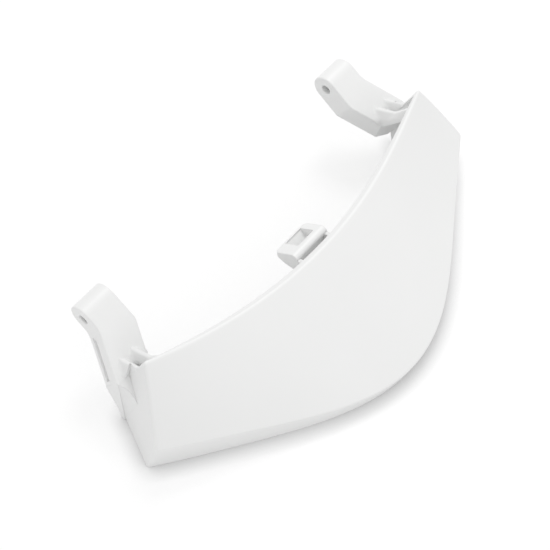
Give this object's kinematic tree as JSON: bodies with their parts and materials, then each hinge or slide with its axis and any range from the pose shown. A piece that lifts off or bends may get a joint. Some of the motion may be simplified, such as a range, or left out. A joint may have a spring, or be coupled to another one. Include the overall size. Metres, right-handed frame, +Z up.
{
  "type": "washing machine door handle",
  "caption": "Curved moulded pull handle for a washing machine door, with two pivot arms for a hinge pin and a catch block behind its grip.",
  "frame": {"origin": "the middle of the handle's box, on the plane of the rim", "axes": "+X along the grip and parallel to the hinge pin, +Y back towards the pivot arms, +Z up out of the grip's outer face, with the rim resting on the XY plane"},
  "size_m": [0.23, 0.1227, 0.0565],
  "materials": {
    "handle_plastic": "satin white moulding"
  },
  "bodies": {
    "root": {"door_handle": "handle_plastic"}
  },
  "joints": []
}
